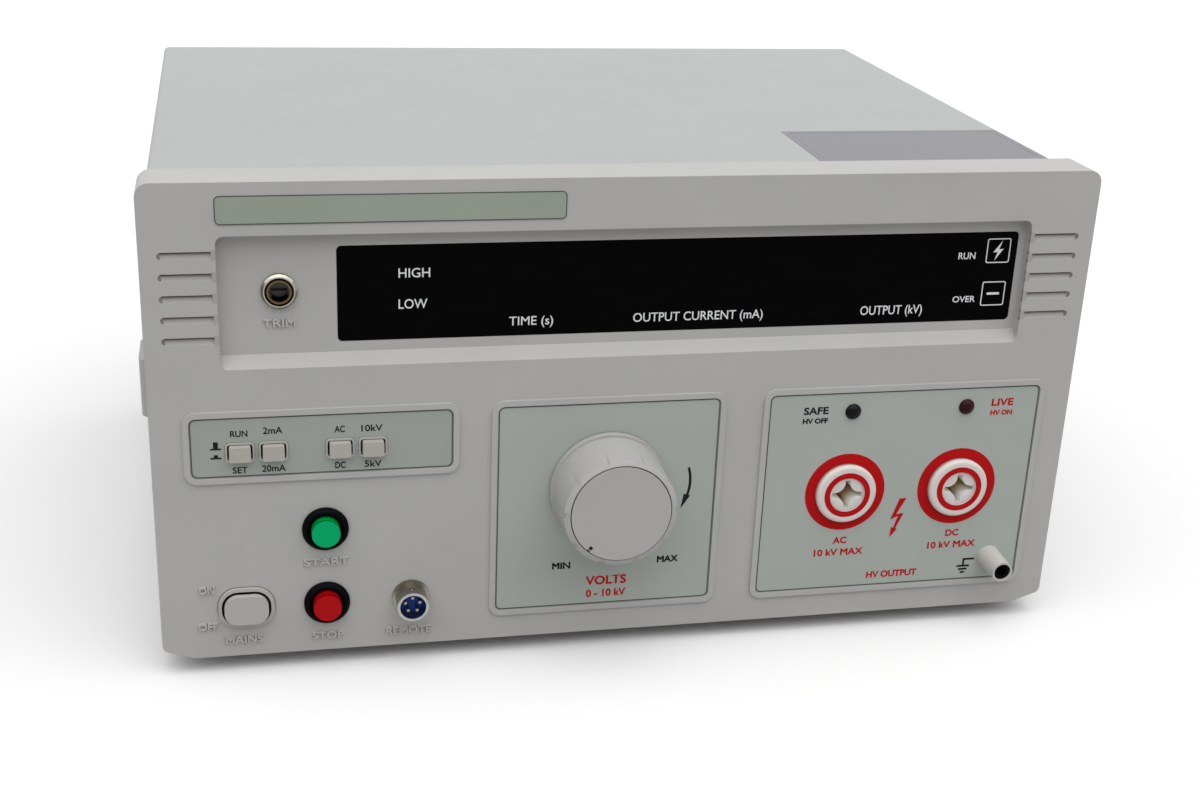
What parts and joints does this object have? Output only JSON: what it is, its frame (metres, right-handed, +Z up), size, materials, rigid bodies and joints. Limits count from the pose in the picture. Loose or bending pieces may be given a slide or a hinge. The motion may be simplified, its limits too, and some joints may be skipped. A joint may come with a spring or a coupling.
{
  "type": "withstand voltage tester",
  "caption": "Bench withstand-voltage tester: pale steel case with side strap handles, moulded front bezel, dark display window, voltage knob, push buttons and high-voltage output sockets.",
  "frame": {"origin": "on the surface that the feet stand on, under the middle of the whole object", "axes": "+Z up, +X to the right seen from the front, the front panel faces -Y"},
  "size_m": [0.372, 0.3194, 0.193],
  "materials": {
    "bezel_plastic": "fine moulded texture",
    "cover_paint": "pale grey powder coat",
    "zinc_steel": "zinc plated",
    "rubber": "matt black",
    "screw_steel": "nickel plated",
    "strap_vinyl": "soft vinyl",
    "handle_plastic": "moulded grey",
    "window_acrylic": "dark tinted acrylic",
    "overlay_film": "satin printed film",
    "circuit_board": "green solder mask",
    "black_plastic": "moulded black",
    "key_plastic": "moulded off-white",
    "nickel": "nickel plated",
    "brass": "turned",
    "start_green": "translucent green",
    "reset_red": "translucent red",
    "insert_blue": "moulded blue",
    "knob_plastic": "moulded off-white",
    "socket_insulator": "moulded white",
    "lamp_smoke": "smoked lens",
    "lamp_red": "dark red lens",
    "carbon": "carbon",
    "core_iron": "varnished laminations",
    "winding": "enamelled copper on an iron ring",
    "coil": "varnished copper winding",
    "potting": "cast resin"
  },
  "bodies": {
    "case": {"front_bezel": "bezel_plastic", "top_cover": "cover_paint", "chassis_tray": "zinc_steel", "rear_panel": "cover_paint", "top_rails": "zinc_steel", "feet": "rubber", "case_screws": "screw_steel", "handle_straps": "strap_vinyl", "handle_caps": "handle_plastic", "display_window": "window_acrylic", "display_board": "circuit_board", "digit_modules": "black_plastic", "preset_bush": "nickel", "preset_pot": "black_plastic", "selector_overlay": "overlay_film", "selector_switches": "black_plastic", "selector_board": "circuit_board", "button_bodies": "black_plastic", "panel_nuts": "nickel", "power_switch": "black_plastic", "control_shell": "nickel", "control_insert": "insert_blue", "control_pins": "brass", "adjust_overlay": "overlay_film", "regulator_winding": "winding", "regulator_bracket": "zinc_steel", "regulator_bush": "brass", "output_overlay": "overlay_film", "hv_socket_ac": "socket_insulator", "hv_socket_dc": "socket_insulator", "hv_inserts": "socket_insulator", "hv_contacts": "brass", "earth_post": "socket_insulator", "earth_contact": "brass", "lamp_safety": "lamp_smoke", "lamp_danger": "lamp_red", "hv_core": "core_iron", "hv_coil": "coil", "hv_rectifier": "potting", "main_board": "circuit_board", "board_standoffs": "nickel", "board_parts": "black_plastic", "inlet_body": "black_plastic", "inlet_pins": "nickel", "fuse_carrier": "black_plastic", "earth_stud": "brass"},
    "knob": {"adjust_knob": "knob_plastic", "knob_disc": "knob_plastic", "knob_screw": "screw_steel", "regulator_shaft": "zinc_steel", "wiper_arm": "brass", "wiper_brush": "carbon"},
    "start_button": {"start_cap": "start_green"},
    "reset_button": {"reset_cap": "reset_red"},
    "power_button": {"power_key": "key_plastic"},
    "preset_adjuster": {"preset_shaft": "brass"},
    "selector_1": {"selector_key_1": "key_plastic"},
    "selector_2": {"selector_key_2": "key_plastic"},
    "selector_3": {"selector_key_3": "key_plastic"},
    "selector_4": {"selector_key_4": "key_plastic"}
  },
  "joints": [
    {"name": "knob_turn", "type": "hinge", "parent": "case", "child": "knob", "pos_m": [-0.0097, -0.13425, 0.0705], "axis": [0, 1, 0], "range_deg": [0, 280]},
    {"name": "start_press", "type": "slide", "parent": "case", "child": "start_button", "axis": [0, 1, 0], "range_m": [0, 0.0028], "stiffness_N_per_m": 600, "springref_m": -0.002},
    {"name": "reset_press", "type": "slide", "parent": "case", "child": "reset_button", "axis": [0, 1, 0], "range_m": [0, 0.0028], "stiffness_N_per_m": 600, "springref_m": -0.002},
    {"name": "power_press", "type": "slide", "parent": "case", "child": "power_button", "axis": [0, 1, 0], "range_m": [0, 0.003], "stiffness_N_per_m": 700, "springref_m": -0.002},
    {"name": "selector_1_press", "type": "slide", "parent": "case", "child": "selector_1", "axis": [0, 1, 0], "range_m": [0, 0.0025], "stiffness_N_per_m": 500, "springref_m": -0.002},
    {"name": "selector_2_press", "type": "slide", "parent": "case", "child": "selector_2", "axis": [0, 1, 0], "range_m": [0, 0.0025], "stiffness_N_per_m": 500, "springref_m": -0.002},
    {"name": "selector_3_press", "type": "slide", "parent": "case", "child": "selector_3", "axis": [0, 1, 0], "range_m": [0, 0.0025], "stiffness_N_per_m": 500, "springref_m": -0.002},
    {"name": "selector_4_press", "type": "slide", "parent": "case", "child": "selector_4", "axis": [0, 1, 0], "range_m": [0, 0.0025], "stiffness_N_per_m": 500, "springref_m": -0.002},
    {"name": "preset_turn", "type": "hinge", "parent": "case", "child": "preset_adjuster", "pos_m": [-0.13225, -0.12925, 0.15195], "axis": [0, 1, 0], "range_deg": [-135, 135]}
  ]
}
